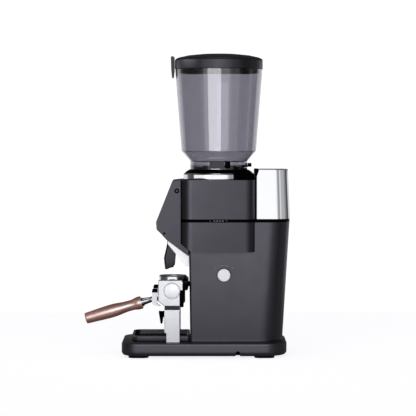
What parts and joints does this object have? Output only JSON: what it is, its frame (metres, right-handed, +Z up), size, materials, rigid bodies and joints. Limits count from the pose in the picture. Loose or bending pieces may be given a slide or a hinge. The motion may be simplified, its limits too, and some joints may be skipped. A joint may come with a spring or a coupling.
{
  "type": "burr coffee grinder",
  "caption": "On-demand burr coffee grinder with a clear lidded hopper, slanted touch head, chrome rear cover and a height-adjustable fork holding a wood-handled portafilter.",
  "frame": {"origin": "centre of the bounding box on the floor plane; X = 0 is the middle plane of the grinder", "axes": "+Z up, the front with the portafilter handle faces -Y, the power knob is on the +X side"},
  "size_m": [0.189, 0.4008, 0.5868],
  "materials": {
    "painted_graphite": "fine satin powder coat",
    "painted_base": "cast aluminium with a fine satin powder coat",
    "black_plastic": "moulded, fine spark texture",
    "black_rubber": "moulded rubber",
    "chrome": "polished mirror",
    "satin_aluminium": "bead blasted and anodised",
    "ground_steel": "ground",
    "smoked_clear_plastic": "clear moulded, lightly smoked",
    "walnut": "oiled and polished",
    "black_glass": "polished touch panel",
    "frosted_plastic": "frosted light diffuser",
    "white_enamel": "satin white",
    "enamelled_copper": "enamelled windings",
    "circuit_board": "solder mask"
  },
  "bodies": {
    "stand": {"base_plate": "painted_base", "cable_gland": "black_plastic", "foot_front_left": "black_rubber", "foot_front_right": "black_rubber", "foot_rear_left": "black_rubber", "foot_rear_right": "black_rubber", "chassis_shell": "painted_graphite", "housing_lower": "painted_graphite", "trim_band": "black_plastic", "housing_upper": "painted_graphite", "rear_cover": "chrome", "rear_liner": "black_plastic", "head_shell": "painted_graphite", "touch_panel": "black_glass", "work_light": "frosted_plastic", "spout": "black_plastic", "exit_chute": "satin_aluminium", "grinding_chamber": "satin_aluminium", "motor_housing": "black_plastic", "motor_stator": "enamelled_copper", "upper_bearing": "ground_steel", "lower_bearing": "ground_steel", "motor_end_plate": "satin_aluminium", "motor_mount": "satin_aluminium", "control_board": "circuit_board", "power_switch": "black_plastic", "start_switch": "black_plastic", "column_left": "satin_aluminium", "column_right": "satin_aluminium", "column_band_left": "black_rubber", "column_band_right": "black_rubber"},
    "adjuster": {"adjust_ring": "chrome", "adjust_lever": "black_plastic", "upper_burr_carrier": "satin_aluminium", "upper_burr": "ground_steel"},
    "rotor": {"drive_shaft": "ground_steel", "motor_rotor": "ground_steel", "cooling_fan": "black_plastic", "lower_burr_carrier": "satin_aluminium", "lower_burr": "ground_steel"},
    "power_control": {"power_knob": "white_enamel"},
    "start_control": {"start_button": "black_plastic"},
    "tray": {"drip_tray": "black_plastic"},
    "hopper_unit": {"hopper": "smoked_clear_plastic", "hopper_collar": "black_plastic"},
    "gate": {"hopper_gate": "black_plastic"},
    "latch": {"hopper_latch": "chrome"},
    "lid_unit": {"lid": "black_plastic"},
    "clip": {"lid_clip": "black_plastic"},
    "fork": {"fork_block_left": "satin_aluminium", "fork_block_right": "satin_aluminium", "fork_arm_left": "chrome", "fork_arm_right": "chrome", "fork_bridge": "black_plastic"},
    "lock_left": {"lock_knob_left": "satin_aluminium"},
    "lock_right": {"lock_knob_right": "satin_aluminium"},
    "portafilter": {"portafilter_body": "chrome", "filter_basket": "ground_steel", "portafilter_handle": "walnut", "portafilter_spout": "chrome"}
  },
  "joints": [
    {"name": "adjust_turn", "type": "hinge", "parent": "stand", "child": "adjuster", "pos_m": [0, 0.0625, 0.355], "axis": [0, 0, 1], "range_deg": [-80, 0]},
    {"name": "rotor_spin", "type": "hinge", "parent": "stand", "child": "rotor", "pos_m": [0, 0.0625, 0.15], "axis": [0, 0, 1], "continuous": true},
    {"name": "power_turn", "type": "hinge", "parent": "stand", "child": "power_control", "pos_m": [0.065, 0.072, 0.1595], "axis": [1, 0, 0], "range_deg": [-45, 45]},
    {"name": "start_press", "type": "slide", "parent": "stand", "child": "start_control", "axis": [0, 1, 0], "range_m": [0, 0.0015], "stiffness_N_per_m": 200},
    {"name": "tray_slide", "type": "slide", "parent": "stand", "child": "tray", "axis": [0, -1, 0], "range_m": [0, 0.1]},
    {"name": "hopper_lift", "type": "slide", "parent": "stand", "child": "hopper_unit", "axis": [0, 0, 1], "range_m": [0, 0.04]},
    {"name": "gate_pull", "type": "slide", "parent": "hopper_unit", "child": "gate", "axis": [0, 1, 0], "range_m": [0, 0.058]},
    {"name": "latch_turn", "type": "hinge", "parent": "hopper_unit", "child": "latch", "pos_m": [0, 0.0625, 0.3704], "axis": [0, 0, 1], "range_deg": [-20, 0]},
    {"name": "lid_lift", "type": "slide", "parent": "hopper_unit", "child": "lid_unit", "axis": [0, 0, 1], "range_m": [0, 0.06]},
    {"name": "clip_turn", "type": "hinge", "parent": "lid_unit", "child": "clip", "pos_m": [0, -0.0275, 0.574], "axis": [-1, 0, 0], "range_deg": [0, 30]},
    {"name": "fork_lift", "type": "slide", "parent": "stand", "child": "fork", "axis": [0, 0, 1], "range_m": [0, 0.01]},
    {"name": "lock_left_turn", "type": "hinge", "parent": "fork", "child": "lock_left", "pos_m": [-0.08, -0.0277, 0.1303], "axis": [-1, 0, 0], "range_deg": [0, 90]},
    {"name": "lock_right_turn", "type": "hinge", "parent": "fork", "child": "lock_right", "pos_m": [0.08, -0.0277, 0.1303], "axis": [1, 0, 0], "range_deg": [0, 90]},
    {"name": "portafilter_slide", "type": "slide", "parent": "fork", "child": "portafilter", "axis": [0, -1, 0], "range_m": [0, 0.1]}
  ]
}
